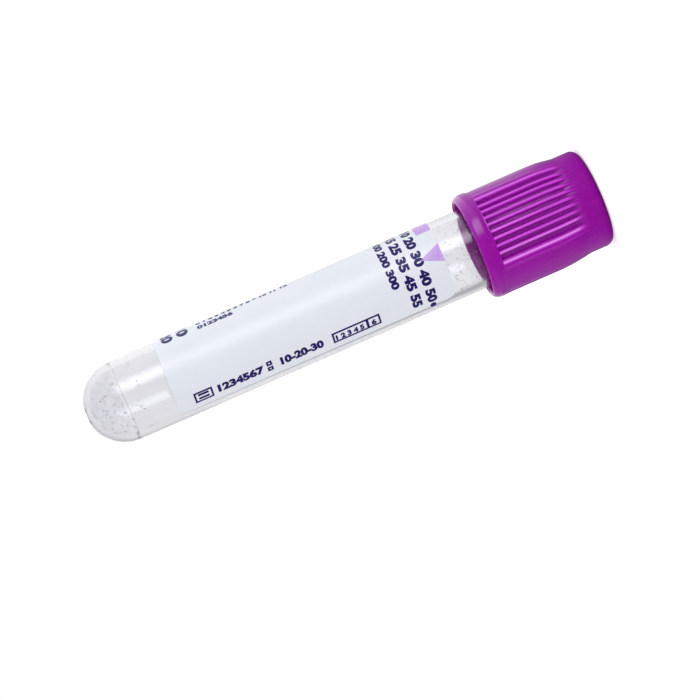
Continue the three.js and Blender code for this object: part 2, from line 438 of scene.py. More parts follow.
# %% Shield section
def draw_outside(bm, start):
    """From the flat top's edge up the neck and the body to the lip's round. Its rows are
    closest where the grooves run out."""
    last = line_to(bm, start, NECK_RADIUS - TOP_ROUND, 0)
    last = arc_to(bm, last, (NECK_RADIUS - TOP_ROUND, TOP_ROUND), 90, 8)
    for height in NECK_ROWS_Z:
        last = line_to(bm, last, NECK_RADIUS, height)
    neck = last = line_to(bm, last, NECK_RADIUS, NECK_Z)
    rise, step = BODY_Z - NECK_Z, BODY_RADIUS - NECK_RADIUS
    sweep = (rise**2 + step**2) / (2 * step)
    angle = math.degrees(math.asin(rise / sweep))
    last = arc_to(bm, last, (BODY_RADIUS - sweep, BODY_Z), angle, 24)
    for below in ROWS_BELOW_LIP:
        last = line_to(bm, last, BODY_RADIUS, LIP_BAND_Z - below)
    for above in ROWS_ON_LIP:
        short = 1 - above / (LIP_ROUND_Z - LIP_BAND_Z)
        last = line_to(bm, last, LIP_RADIUS - LIP_BULGE * short**2, LIP_BAND_Z + above)
    return neck, line_to(bm, last, LIP_RADIUS, LIP_ROUND_Z)


def draw_lip(bm, start):
    """The lip's round, a quarter circle that is drawn out along the axis."""
    before = set(bm.verts)
    last = arc_to(bm, start, (LIP_RADIUS - LIP_WALL, LIP_ROUND_Z), 90, 9)
    stretch = (SHIELD_HEIGHT - LIP_ROUND_Z) / LIP_WALL
    bmesh.ops.scale(
        bm, vec=(1, 1, stretch), verts=[v for v in bm.verts if v not in before],
        space=Matrix.Translation((0, 0, -LIP_ROUND_Z)),
    )
    return last


def draw_shield_section():
    """The shield's closed section, from the hole's edge round and back to it."""
    bm, first = start_section(HOLE_RADIUS + HOLE_ROUND, 0)
    neck, lip = draw_outside(bm, first)
    last = draw_lip(bm, lip)
    edge = last = line_to(bm, last, SKIRT_RADIUS, SKIRT_EDGE_Z)
    for radius, height in (
        (SKIRT_RADIUS, SKIRT_ROW_Z), (SKIRT_RADIUS, BEAD_RUNOUT_Z), (BEAD_RADIUS, BEAD_TOP_Z),
        (BEAD_RADIUS, RIM_Z), (POCKET_RADIUS, FLANGE_TOP_Z), (POCKET_RADIUS, TOP_WALL),
        (HOLE_RADIUS, TOP_WALL), (HOLE_RADIUS, HOLE_ROUND),
    ):
        last = line_to(bm, last, radius, height)
    arc_to(bm, last, (HOLE_RADIUS + HOLE_ROUND, HOLE_ROUND), 90, 4)
    round_corners(bm, [neck], NECK_BEND, 3)
    round_corners(bm, [edge], SKIRT_EDGE_ROUND, 2)
    bmesh.ops.remove_doubles(bm, verts=bm.verts[:], dist=MERGE)
    return bm


shield = draw_shield_section()
print("shield section", len(shield.verts), "points")

# %% [markdown]
# The grip pattern, in degrees round the axis. Each panel has a broad ridge on both
# sides, then a wide groove, and then ribs at an even pitch.

# %% Lay out the grip
PANEL_CENTRES = (-151, -5, 102)
PANEL_HALF_ANGLE = 24
PANEL_SIDE_ANGLE = 0.9
RIDGE_ANGLE = 11.5
RIDGE_LINE_ANGLE = 29.4
RIDGE_LINE_WIDTH = 0.8
RIDGE_LINE_SHARE = 0.22
EDGE_GROOVE_ANGLE = 7.6
RIB_PITCH = 8.2
RIB_TOP_ANGLE = 2.8
SIDE_LEAD = 0.45
SIDE_RUN = 1.9


def groove_spans(start, end):
    """Where each groove between two panels starts and ends."""
    half_top = RIB_TOP_ANGLE / 2
    start += PANEL_HALF_ANGLE + RIDGE_ANGLE
    end -= PANEL_HALF_ANGLE + RIDGE_ANGLE
    first = start + EDGE_GROOVE_ANGLE + half_top
    last = end - EDGE_GROOVE_ANGLE - half_top
    steps = round((last - first) / RIB_PITCH)
    ribs = [first + (last - first) * i / steps for i in range(steps + 1)]
    starts = [start] + [rib + half_top for rib in ribs]
    ends = [rib - half_top for rib in ribs] + [end]
    return list(zip(starts, ends))


turns = zip(PANEL_CENTRES, PANEL_CENTRES[1:] + (PANEL_CENTRES[0] + 360,))
GROOVES = [span for start, end in turns for span in groove_spans(start, end)]
print(len(GROOVES), "grooves")


# %% Shares of the grip
def soft_step(value):
    """0 below 0, 1 above 1, and an S between."""
    value = min(1, max(0, value))
    return value * value * (3 - 2 * value)


def angle_between(degrees, other):
    """The smaller angle between two directions."""
    return abs((degrees - other + 180) % 360 - 180)


def from_panel(degrees):
    """The angle from here to the middle of the nearest panel."""
    return min(angle_between(degrees, centre) for centre in PANEL_CENTRES)


def panel_share(degrees):
    """1 on a smooth panel, 0 off it."""
    return soft_step((PANEL_HALF_ANGLE - from_panel(degrees)) / PANEL_SIDE_ANGLE + 0.5)


def groove_share(degrees):
    """How deep in a groove this angle is, from 0 on a rib to 1 on the floor. Each broad
    ridge also carries one fine shallow line."""
    line = (from_panel(degrees) - RIDGE_LINE_ANGLE) / RIDGE_LINE_WIDTH
    share = RIDGE_LINE_SHARE * math.exp(-line * line)
    for start, end in GROOVES:
        for angle in (degrees, degrees + 360):
            rise = soft_step((angle - start + SIDE_LEAD) / SIDE_RUN)
            fall = soft_step((end + SIDE_LEAD - angle) / SIDE_RUN)
            share = max(share, rise * fall)
    return share


# %% Painted highlights on the crowns of the grip
USUAL_HIGHLIGHT = 0.75
PALEST_HIGHLIGHT = 1.0
RIB_HIGHLIGHT_WIDTH = 1.9
FAINT_HIGHLIGHT = 0.25
RIDGE_HIGHLIGHT = (32.8, 2.3)
INNER_HIGHLIGHT = (26.4, 1.0)


def crown_highlight_places():
    """The angle, half width and strength of the painted highlight on every rib top and
    ridge. The ridge before each group of ribs and the group's first rib get the
    strongest, as if the light fell from that side."""
    places = []
    for (start, end), (next_start, _) in zip(GROOVES, GROOVES[1:]):
        if math.isclose(next_start - end, RIB_TOP_ANGLE):
            first_rib = math.isclose(end - start, EDGE_GROOVE_ANGLE)
            strength = PALEST_HIGHLIGHT if first_rib else USUAL_HIGHLIGHT
            places.append(((end + next_start) / 2, RIB_HIGHLIGHT_WIDTH, strength))
    for centre in PANEL_CENTRES:
        # The painted highlight is stronger on one side of each panel than on the other.
        for side, strength in ((-1, USUAL_HIGHLIGHT), (1, PALEST_HIGHLIGHT)):
            for (off, width), share in ((RIDGE_HIGHLIGHT, strength), (INNER_HIGHLIGHT, FAINT_HIGHLIGHT)):
                places.append((centre + side * off, width, share))
    return places


CROWN_HIGHLIGHTS = crown_highlight_places()


def crown_highlight_share(degrees):
    """How strong the painted highlight is at this angle, up to its full strength on the
    middle of a rib top.
    """
    return max(
        strength * math.exp(-((angle_between(degrees, angle) / width) ** 2))
        for angle, width, strength in CROWN_HIGHLIGHTS
    )


print(len(CROWN_HIGHLIGHTS), "crowns")

# %% Choose the columns of the spin
SIDE_STEPS = 5
PANEL_SIDE_STEPS = 3
WIDEST_COLUMN = 2.3


def grip_columns():
    """Angles of the body's columns: close together on every side, wide elsewhere."""
    angles = set()
    for start, end in GROOVES:
        for i in range(SIDE_STEPS + 1):
            angles.add(start - SIDE_LEAD + SIDE_RUN * i / SIDE_STEPS)
            angles.add(end + SIDE_LEAD - SIDE_RUN * i / SIDE_STEPS)
    for centre in PANEL_CENTRES:
        for side in (-1, 1):
            for i in range(PANEL_SIDE_STEPS + 1):
                across = PANEL_SIDE_ANGLE * (i / PANEL_SIDE_STEPS - 0.5)
                angles.add(centre + side * (PANEL_HALF_ANGLE + across))
            for i in range(-2, 3):
                angles.add(centre + side * (RIDGE_LINE_ANGLE + RIDGE_LINE_WIDTH * i))
    angles = sorted(angles)
    angles.append(angles[0] + 360)
    columns = []
    for low, high in zip(angles, angles[1:]):
        parts = max(1, math.ceil((high - low) / WIDEST_COLUMN))
        columns += [low + (high - low) * i / parts for i in range(parts)]
    return columns + [angles[-1]]


columns = grip_columns()
ring = shield.verts[:] + shield.edges[:]
transform(shield, Matrix.Rotation(math.radians(columns[0]), 4, "Z"))
for low, high in zip(columns, columns[1:]):
    made = bmesh.ops.spin(
        shield, geom=ring, cent=(0, 0, 0), axis=AXIS, angle=math.radians(high - low), steps=1,
    )
    ring = made["geom_last"]
close_up(shield)
print(len(columns) - 1, "columns,", len(shield.faces), "faces")

# %% [markdown]
# Now the grooves and panels are drawn in. A point of the outside moves towards the axis
# where it stands above the groove's floor. Near the neck the grooves get narrower and
# shallower, so they run out there in points as the real ones do.

# %% Draw in the grooves and panels
GROOVE_DEPTH = 0.56
GROOVE_ROUND = 0.08
GROOVE_END_Z = 3.3
GROOVE_END_RUN = 2
GROOVE_TINT_RUN = 1.2
GROOVE_STOP_Z = LIP_BAND_Z - 0.40
GROOVE_STOP_RUN = 0.32
NECK_DIP = 0.22
NECK_DIP_Z = 4.2
NECK_DIP_RUN = 3
POINT_RUN = 2.2
POINT_LOSS = 0.7
LIP_FADE = 0.2
PANEL_DEPTH = 0.13
PANEL_ROUND = 0.12
PANEL_FOOT_HEIGHT = 0.36
GRIP_START_Z = 2
GRIP_REACH = NECK_RADIUS - 0.05
SKIRT_REACH = SKIRT_RADIUS + 0.1


def trim(radius, limit, soft):
    """The lower of two radii, with a small round where they cross."""
    over = radius - limit
    if over <= -soft:
        return radius
    if over >= soft:
        return limit
    return radius - (over + soft) ** 2 / (4 * soft)


def grip_radius(radius, height, groove, panel):
    """Radius of the grip at a height, after its groove and panel are cut."""
    fade = 1 - soft_step((height - GROOVE_STOP_Z) / GROOVE_STOP_RUN)
    if groove * fade > 0:
        dip = NECK_DIP * (1 - soft_step((height - NECK_DIP_Z) / NECK_DIP_RUN))
        floor = BODY_RADIUS - (GROOVE_DEPTH + dip) * groove * fade
        cut = trim(radius, floor, GROOVE_ROUND) - radius
        radius += cut * soft_step((height - GROOVE_END_Z) / GROOVE_END_RUN)
    if panel > 0:
        foot = max(0, height - LIP_BAND_Z) / PANEL_FOOT_HEIGHT
        floor = BODY_RADIUS - PANEL_DEPTH
        limit = floor + (LIP_RADIUS - floor) * foot
        radius += (trim(radius, limit, PANEL_ROUND) - radius) * panel
    return radius


def draw_in_grip(bm):
    """Moves the grip's points, and marks the grooves, the painted highlight on the
    crowns and the painted glow inside the skirt.
    """
    groove_layer = bm.verts.layers.float.new(GROOVE_LAYER)
    crown_highlight_layer = bm.verts.layers.float.new(CROWN_HIGHLIGHT_LAYER)
    skirt_glow_layer = bm.verts.layers.float.new(SKIRT_GLOW_LAYER)
    for vert in bm.verts:
        radius = math.hypot(vert.co.x, vert.co.y)
        height = vert.co.z
        # Marks the skirt's inside for its painted glow.
        vert[skirt_glow_layer] = float(radius < SKIRT_REACH and height > BODY_Z)
        if radius < GRIP_REACH or not GRIP_START_Z < height < LIP_ROUND_Z:
            continue
        degrees = math.degrees(math.atan2(vert.co.y, vert.co.x))
        above_end = height - GROOVE_END_Z
        grown = soft_step(above_end / POINT_RUN)
        loss = POINT_LOSS * (1 - grown)
        groove = max(0, groove_share(degrees) - loss) / (1 - loss)
        new = grip_radius(radius, height, groove, panel_share(degrees))
        lip = soft_step((LIP_BAND_Z - height) / LIP_FADE)
        vert[groove_layer] = groove * lip * soft_step(above_end / GROOVE_TINT_RUN)
        vert[crown_highlight_layer] = crown_highlight_share(degrees) * (1 - groove) * lip * grown
        vert.co.x *= new / radius
        vert.co.y *= new / radius


draw_in_grip(shield)
bmesh.ops.recalc_face_normals(shield, faces=shield.faces[:])
make_piece("shield_cap", shield, shield_finish, "closure", ["shield"])

# %% [markdown]
# The stopper
#
# A dark rubber moulding sits in the shield: a flange, the well that the needle goes
# into, and the plug in the tube's mouth with a hollow underside. It shows through the
# hole, and when the closure is pulled off. Rubber has no crisp corners, so every corner
# of its section is rounded before the spin.

# %% Stopper
WELL_RADIUS = 3.4
WELL_MOUTH_RADIUS = 3.65
WELL_Z = stopper_low.z + 4.4
WELL_DISH = 0.35
CAVITY_Z = WELL_Z + 4.0
CAVITY_RADIUS = 2.75
PLUG_RADIUS = 5.05
PLUG_TAPER = 0.65
PLUG_TAPER_Z = stopper_high.z - 1.2
FLANGE_RADIUS = stopper_high.x
STOPPER_STEPS = 96


def draw_stopper_section():
    """The stopper's section, from the well's floor round to the plug's hollow. Each
    corner has its own rounding."""
    bm, last = start_section(0, WELL_Z + WELL_DISH)
    corners = []
    for radius, height, rounding in (
        (WELL_RADIUS, WELL_Z, 0.7), (WELL_MOUTH_RADIUS, stopper_low.z, 0.3),
        (FLANGE_RADIUS, stopper_low.z, 0.5), (FLANGE_RADIUS, FLANGE_TOP_Z, 0.3),
        (PLUG_RADIUS, FLANGE_TOP_Z, 0.25), (PLUG_RADIUS, PLUG_TAPER_Z, 0.5),
        (PLUG_RADIUS - PLUG_TAPER, stopper_high.z, 0.3), (CAVITY_RADIUS, stopper_high.z, 0.3),
        (CAVITY_RADIUS, CAVITY_Z, 0.8),
    ):
        last = line_to(bm, last, radius, height)
        corners.append((last, rounding))
    line_to(bm, last, 0, CAVITY_Z)
    for corner, rounding in corners:
        round_corners(bm, [corner], rounding, 5)
    return bm


stopper = draw_stopper_section()
spin_section(stopper, STOPPER_STEPS)
stopper_finish = mottled_finish(
    "purple_rubber", (0.022, 0.006, 0.04), (0.045, 0.010, 0.075), (0.55, 0.75),
    scales=(1.4, 0.3, 0.5), bump=(0.03, 0.4), specular=0.4,
)
make_piece("rubber_stopper", stopper, stopper_finish, "closure", ["stopper"])

# %% [markdown]
# The tube
#
# One clear moulding with a one-millimetre wall. Light has to bend through both faces of
# the wall, so inside and outside are one closed surface. A faint raised line runs round
# it where the round end begins, and the gate has left a shallow round recess on top.

# %% Tube section and body
MOULD_LINE_SHADE_LAYER = "line_shade"
FROST_LAYER = "frost"
WALL = 1.0
RIM_ROUND = 0.3
INNER_DOME_RADIUS = DOME_RADIUS - WALL
GATE_RADIUS = 1.35
GATE_FLOOR_RADIUS = GATE_RADIUS - 0.06
GATE_ROUND = 0.05
MOULD_LINE = 0.02
MOULD_LINE_HALF = 0.055
FROST_Z = DOME_Z - 1.5
FROST_RUN = 4
FROST_DULLNESS = 0.15
FROST_RELIEF = 1.5
TUBE_STEPS = 160
WALL_ROWS = (DOME_Z - 0.12, DOME_Z - 0.5, DOME_Z - 6, 50, 26, 14, RIM_Z + 1)


def tube_radius(height):
    """Outer radius of the tapered wall."""
    return MOUTH_RADIUS - TUBE_TAPER * (height - RIM_Z) / (DOME_Z - RIM_Z)


def draw_tube_section():
    """The wall's section, from the axis inside, round the rim and up to the gate."""
    bm, pole = start_section(0, DOME_Z + INNER_DOME_RADIUS)
    last = arc_to(bm, pole, (0, DOME_Z), -90, 20)
    for height in WALL_ROWS:
        last = line_to(bm, last, tube_radius(height) - WALL, height)
    last = line_to(bm, last, MOUTH_RADIUS - WALL, RIM_Z + RIM_ROUND)
    last = arc_to(bm, last, (MOUTH_RADIUS - WALL + RIM_ROUND, RIM_Z + RIM_ROUND), 90, 5)
    last = line_to(bm, last, MOUTH_RADIUS - RIM_ROUND, RIM_Z)
    last = arc_to(bm, last, (MOUTH_RADIUS - RIM_ROUND, RIM_Z + RIM_ROUND), 90, 5)
    for height in reversed(WALL_ROWS):
        last = line_to(bm, last, tube_radius(height), height)
    for rise, height in ((0, -1), (MOULD_LINE, -0.4), (MOULD_LINE, 0.4), (0, 1)):
        last = line_to(bm, last, DOME_RADIUS + rise, DOME_Z + height * MOULD_LINE_HALF)
    start = math.asin(MOULD_LINE_HALF / DOME_RADIUS)
    gate = math.acos(GATE_RADIUS / DOME_RADIUS)
    edge = arc_to(bm, last, (0, DOME_Z), math.degrees(gate - start), 22)
    last = line_to(bm, edge, GATE_FLOOR_RADIUS, tube_high.z)
    line_to(bm, last, 0, tube_high.z)
    round_corners(bm, [edge], GATE_ROUND, 2)
    return bm


def mark_surface(bm):
    """Says where the raised line gets its painted shade and where the additive has left
    its frost.
    """
    line_shade = bm.verts.layers.float.new(MOULD_LINE_SHADE_LAYER)
    frost = bm.verts.layers.float.new(FROST_LAYER)
    for vert in bm.verts:
        outside = math.hypot(vert.co.x, vert.co.y) > DOME_RADIUS + MOULD_LINE / 2
        vert[line_shade] = float(outside and abs(vert.co.z - DOME_Z) < MOULD_LINE_HALF)
        vert[frost] = soft_step((vert.co.z - FROST_Z) / FROST_RUN)


tube = draw_tube_section()
spin_section(tube, TUBE_STEPS)
mark_surface(tube)
print("tube", len(tube.faces), "faces")

# %% [markdown]
# Clear plastic bends and reflects light, and takes a little of it away along its path in
# the wall, which gives the tube its pale grey. Lamps have to reach the label's inside
# through it, so a shadow ray passes it unbent. In the round end the dried additive leaves
# a faint frost. The raised line round it carries a painted shade: it is darkened in
# patches, standing in for the dark line that its step shows in the clear wall.

# %% Tube finish
def mix_shaders(tree, factor, first, second):
    """Mixes two shaders and puts them on the surface."""
    values = {0: factor, 1: first.outputs[0], 2: second.outputs[0]}
    mix = make_node(tree, "MixShader", values)
    feed(tree, tree.nodes["Material Output"], {"Surface": mix.outputs[0]})
    return mix


def let_shadow_rays_pass(tree, shader, colour, from_inside=False):
    """Lets lamps shine through a clear or thin piece, unbent. With from_inside, a ray
    that meets a face from behind passes too, whatever its kind."""
    passing = make_node(tree, "LightPath").outputs["Is Shadow Ray"]
    if from_inside:
        behind = make_node(tree, "NewGeometry").outputs["Backfacing"]
        passing = math_node(tree, "MAXIMUM", passing, behind)
    mix_shaders(tree, passing, shader, make_node(tree, "BsdfTransparent", {"Color": colour}))


def build_clear_finish():
    material, tree, shader = new_material("clear_plastic")
    tone, height = add_mottle(tree, cloud=1.6, grain=0.5, share=0.3, stretch=(1, 1, 0.06))
    clear = mix_colours(tree, tone, (0.905, 0.905, 0.93), (0.95, 0.95, 0.96))
    grain, grain_height = add_mottle(tree, cloud=0.9, grain=0.3, share=0.6)
    frost = attribute_value(tree, FROST_LAYER)
    specked = mix_colours(tree, grain, (0.86, 0.86, 0.90), (1.0, 1.0, 1.0))
    frosted = mix_colours(tree, frost, clear, specked)
    patches, _ = add_mottle(tree, cloud=4.0, grain=0.6, share=0.2)
    # Painted shade: the raised line is darkened in patches.
    line_shade = math_node(tree, "MULTIPLY", attribute_value(tree, MOULD_LINE_SHADE_LAYER), patches)
    line_shaded = mix_colours(tree, line_shade, frosted, (0.30, 0.30, 0.35))
    smooth = spread_values(tree, tone, 0.02, 0.08)
    frost_grain = math_node(tree, "MULTIPLY", frost, grain)
    roughness = math_node(tree, "MULTIPLY_ADD", frost_grain, FROST_DULLNESS, smooth)
    frost_height = math_node(tree, "MULTIPLY", grain_height, frost)
    relief = math_node(tree, "MULTIPLY_ADD", frost_height, FROST_RELIEF, height)
    set_looks(tree, line_shaded, roughness, relief, depth=0.02, strength=0.2)
    absorbed = {"Color": (0.81, 0.81, 0.85, 1), "Density": 300}
    volume = make_node(tree, "VolumeAbsorption", absorbed).outputs[0]
    feed(tree, tree.nodes["Material Output"], {"Volume": volume})
    feed(tree, shader, {"Transmission Weight": 1.0, "IOR": 1.57})
    let_shadow_rays_pass(tree, shader, (0.98, 0.98, 0.98, 1))
    return material


clear_finish = build_clear_finish()
make_piece("tube_wall", tube, clear_finish, "tube", ["tube"], crease=60)

# %% [markdown]
# The label and its print
#
# The label is a white film with round corners, wrapped round most of the tube, so that
# a clear window is left to see the sample through. Film and print are modelled flat,
# where operators are easy to use, and then wrapped, a little askew as a label by a
# machine is. In the flat drawing x runs round the tube, z runs along it, and -y is the
# side that faces out.

# %% Wrap flat work round the tube
LABEL_CLEARANCE = 0.03
LABEL_THICKNESS = 0.12
WRAP_RADIUS = MOUTH_RADIUS + LABEL_CLEARANCE + LABEL_THICKNESS
WRAP_SKEW = -0.02
BEND_STEP = 0.28
FRONT = math.radians(-90)


def arc_width(degrees):
    """How wide work is, laid flat, that covers an angle of the label."""
    return math.radians(degrees) * WRAP_RADIUS


def arc_place(degrees):
    """Place in the flat drawing of an angle, which grows towards the clear window."""
    return -arc_width(degrees)


def slice_for_wrap(bm):
    """Cuts flat work across at even steps, so that it can bend."""
    high = max(v.co.x for v in bm.verts)
    cut = min(v.co.x for v in bm.verts) + BEND_STEP
    while cut < high:
        bmesh.ops.bisect_plane(
            bm, geom=bm.verts[:] + bm.edges[:] + bm.faces[:], dist=1e-6,
            plane_co=(cut, 0, 0), plane_no=(1, 0, 0),
        )
        cut += BEND_STEP


def thicken(bm, thickness):
    """Gives flat work a thickness outwards."""
    made = bmesh.ops.extrude_face_region(bm, geom=bm.faces[:])
    lifted = [g for g in made["geom"] if isinstance(g, bmesh.types.BMVert)]
    bmesh.ops.translate(bm, vec=(0, -thickness, 0), verts=lifted)


def wrap(bm):
    """Bends flat work round the tube and turns its faces outwards."""
    for vert in bm.verts:
        vert.co.z += WRAP_SKEW * vert.co.x
        radius = tube_radius(vert.co.z) + LABEL_CLEARANCE - vert.co.y
        angle = FRONT + vert.co.x / WRAP_RADIUS
        vert.co.x = radius * math.cos(angle)
        vert.co.y = radius * math.sin(angle)
    bmesh.ops.recalc_face_normals(bm, faces=bm.faces[:])


# %% [markdown]
# The film is thin enough to let some light through: its inner face, which an attribute
# marks, is partly translucent, so that the label is light inside too.

# %% Label film
LABEL_EDGE_ANGLE = 58
LABEL_WRAP_ANGLE = 295
LABEL_CORNER = 1.5
LABEL_GLOW = 0.6
STAND_UP = Matrix.Rotation(math.radians(90), 4, "X")
INSIDE_LAYER = "inside"


def flat_rectangle(width, height):
    """A standing rectangle round the origin."""
    bm = bmesh.new()
    bmesh.ops.create_grid(bm, x_segments=1, y_segments=1, size=0.5)
    resize(bm, (width, height, 1))
    transform(bm, STAND_UP)
    return bm


def wrap_film():
    """The film with its round corners and marked inner face, wrapped round the tube."""
    film = flat_rectangle(arc_width(LABEL_WRAP_ANGLE), label_high.z - label_low.z)
    round_corners(film, film.verts[:], LABEL_CORNER, 8)
    middle = arc_place(LABEL_EDGE_ANGLE - LABEL_WRAP_ANGLE / 2)
    shift(film, (middle, 0, (label_low.z + label_high.z) / 2))
    slice_for_wrap(film)
    thicken(film, LABEL_THICKNESS)
    inside_layer = film.verts.layers.float.new(INSIDE_LAYER)
    for vert in film.verts:
        vert[inside_layer] = float(vert.co.y > -LABEL_THICKNESS / 2)
    wrap(film)
    return film


def build_label_finish():
    material = mottled_finish(
        "label_film", (0.785, 0.82, 0.895), (0.82, 0.85, 0.92), (0.2, 0.3),
        scales=(6.0, 0.5, 0.25), bump=(0.02, 0.2), specular=0.3,
    )
    tree = material.node_tree
    glow = make_node(tree, "BsdfTranslucent", {"Color": (0.95, 0.96, 0.98, 1)})
    inside = math_node(tree, "MULTIPLY", attribute_value(tree, INSIDE_LAYER), LABEL_GLOW)
    film = mix_shaders(tree, inside, tree.nodes["Principled BSDF"], glow)
    let_shadow_rays_pass(tree, film, (0.97, 0.97, 0.98, 1), from_inside=True)
    return material


make_piece("label_film", wrap_film(), build_label_finish(), "tube", ["label"])

# %% [markdown]
# The print is generic: plain counting numbers, open boxes, bars and a triangle. Figures
# come from the built-in font, which is turned into a mesh first. Each shape is stamped
# on the flat label and gets a thickness like a coat of ink.

# %% Make the flat shapes
FIGURE_WEIGHT = 0.06


def fit_flat(bm, length, height):
    """Moves lying work to the origin and gives it a length and a height."""
    low = Vector([min(v.co[i] for v in bm.verts) for i in range(3)])
    high = Vector([max(v.co[i] for v in bm.verts) for i in range(3)])
    shift(bm, -low)
    resize(bm, (length / (high.x - low.x), height / (high.y - low.y), 1))


def flat_figures(text, length, height):
    """Figures standing at the origin, as long and as high as asked."""
    curve = bpy.data.curves.new("figures", "FONT")
    curve.body = text
    curve.offset = FIGURE_WEIGHT
    curve.resolution_u = 3
    holder = add_object("figures", curve)
    graph = bpy.context.evaluated_depsgraph_get()
    mesh = bpy.data.meshes.new_from_object(holder.evaluated_get(graph))
    bm = bmesh.new()
    bm.from_mesh(mesh)
    bpy.data.meshes.remove(mesh)
    bpy.data.objects.remove(holder)
    bpy.data.curves.remove(curve)
    fit_flat(bm, length, height)
    bmesh.ops.remove_doubles(bm, verts=bm.verts[:], dist=MERGE)
    transform(bm, STAND_UP)
    return bm


def flat_bar(width, height):
    """A bar with its lower left corner at the origin."""
    bm = flat_rectangle(width, height)
    shift(bm, (width / 2, 0, height / 2))
    return bm


def flat_box(width, height, line):
    """The outline of a box."""
    bm = flat_bar(width, height)
    inside = bm.faces[:]
    bmesh.ops.inset_region(bm, faces=inside, thickness=line, use_boundary=True)
    bmesh.ops.delete(bm, geom=inside, context="FACES_ONLY")
    return bm


def flat_disc(width, height, segments=20):
    """A disc, or with three segments a triangle that points up, in a box of that size."""
    bm = bmesh.new()
    bmesh.ops.create_circle(bm, cap_ends=True, segments=segments, radius=0.5)
    fit_flat(bm, width, height)
    transform(bm, STAND_UP)
    return bm


# %% Stamp shapes on the flat label
ROUND_ROW = 180
LONG_ROW = 90


def stamp(sheet, shape, direction, degrees, height):
    """Adds a flat shape to a sheet, with its origin at an angle and a height."""
    turned = Matrix.Rotation(math.radians(direction), 4, "Y")
    placed = Matrix.Translation((arc_place(degrees), 0, height)) @ turned
    transform(shape, placed)
    mesh = to_mesh("stamp", shape)
    sheet.from_mesh(mesh)
    bpy.data.meshes.remove(mesh)


INK_THICKNESS = 0.012
INK_SINK = 0.004


def print_piece(name, sheet, material):
    """Lays a flat sheet of ink on the label's face, sunk into it by a hair."""
    slice_for_wrap(sheet)
    shift(sheet, (0, INK_SINK - LABEL_THICKNESS, 0))
    thicken(sheet, INK_THICKNESS + INK_SINK)
    wrap(sheet)
    make_piece(name, sheet, material, "tube")


# %% Dark print
BOX_LINE = 0.42

dark_sheet = bmesh.new()
for text, degrees, span, height, size in (
    ("10 20 30 40 50", -80, 130, 30.1, 1.6),
    ("15 25 35 45 55", -80, 128, 32.5, 1.6),
    ("100 200 300", -80, 90, 34.6, 1.3),
    ("10", -90, 34, 66.9, 1.9),
    ("20", -90, 34, 69.4, 1.9),
):
    stamp(dark_sheet, flat_figures(text, arc_width(span), size), ROUND_ROW, degrees, height)
for text, degrees, start, length, size in (
    ("1234567", 46, 64.2, 7.5, 1.5),
    ("10-20-30", 46, 54.0, 7.0, 1.5),
    ("1 2 3 4 5", 45, 45.0, 4.6, 1.0),
    ("6", 45, 39.2, 0.8, 1.0),
    ("0 1 2 3 4 5 6 7 8 9 10 11 12", -70, 63.6, 15.0, 1.1),
    ("0123456", -56, 63.6, 5.8, 1.1),
):
    stamp(dark_sheet, flat_figures(text, length, size), LONG_ROW, degrees, start)
for width, height, degrees, start in (
    (3.0, 1.9, 48, 68.0), (7.8, 1.9, 48, 45.5), (0.9, 0.8, 47, 56.2), (0.9, 0.8, 38, 56.2),
):
    stamp(dark_sheet, flat_box(width, height, BOX_LINE), LONG_ROW, degrees, start)
for width, height, degrees, start in (
    (BOX_LINE, 1.9, 48, 40.0), (1.7, 0.38, 43.8, 67.35), (1.7, 0.38, 38.0, 67.35),
):
    stamp(dark_sheet, flat_bar(width, height), LONG_ROW, degrees, start)
stamp(dark_sheet, flat_disc(1.0, 1.0), ROUND_ROW, 52, 29.9)

dark_ink = mottled_finish(
    "navy_ink", (0.011, 0.006, 0.11), (0.018, 0.010, 0.15), (0.25, 0.35),
    scales=(1.0, 0.15, 0.5), bump=(0.004, 0.2), specular=0.25,
)
print_piece("label_print_dark", dark_sheet, dark_ink)

# %% Lavender print
lavender_sheet = bmesh.new()
label_end = label_low.z + 0.02
triangle = flat_disc(arc_width(27), 3.5, segments=3)
stamp(lavender_sheet, triangle, 0, 0.9, label_end)
stamp(lavender_sheet, flat_bar(arc_width(34), 2.4), 0, -53, label_end)
stamp(lavender_sheet, flat_bar(0.6, 39.0), 0, -92, 31.0)
lavender_ink = mottled_finish(
    "lavender_ink", (0.50, 0.29, 0.74), (0.68, 0.46, 0.87), (0.22, 0.32),
    scales=(1.2, 0.2, 0.3), bump=(0.004, 0.2), specular=0.3,
)
print_piece("label_print_lavender", lavender_sheet, lavender_ink)

# %% [markdown]
# The dried additive
#
# The tube's inside is sprayed with an additive that dries in specks. They are thickest
# in the round end and near the closure. Each one is a small flattened ball on the wall,
# set at random with a fixed seed, so it is the same every time.

# %% Additive specks
ADDITIVE_SEED = 11
DOME_SPECKS = 700
DOME_SPREAD = math.radians(100)
DOME_DROP = 3
MOUTH_SPECKS = 1300
MOUTH_SPECKS_Z = 17
MOUTH_SPREAD = 11
MOUTH_SIZE = 0.8
SPECK_SIZE = 0.035
SPECK_GROWTH = 0.09
SPECK_FLATNESS = 0.35
SPECK_LENGTHS = (0.8, 1.5)
SPECK_GAP = 0.01

dice = random.Random(ADDITIVE_SEED)


def speck_size():
    """Most specks are small, and a few are more than three times as large."""
    return SPECK_SIZE + SPECK_GROWTH * dice.random() ** 3


def add_speck(bm, place, outwards, size):
    """One flattened ball with its flat side to the wall, a hair off it."""
    facing = outwards.to_track_quat("Z", "Y").to_matrix().to_4x4()
    depth = size * SPECK_FLATNESS
    shape = Matrix.Diagonal((size * dice.uniform(*SPECK_LENGTHS), size, depth, 1))
    spin = Matrix.Rotation(dice.uniform(0, math.pi), 4, "Z")
    matrix = Matrix.Translation(place - outwards * (depth + SPECK_GAP)) @ facing @ spin @ shape
    bmesh.ops.create_icosphere(bm, subdivisions=1, radius=1, matrix=matrix)


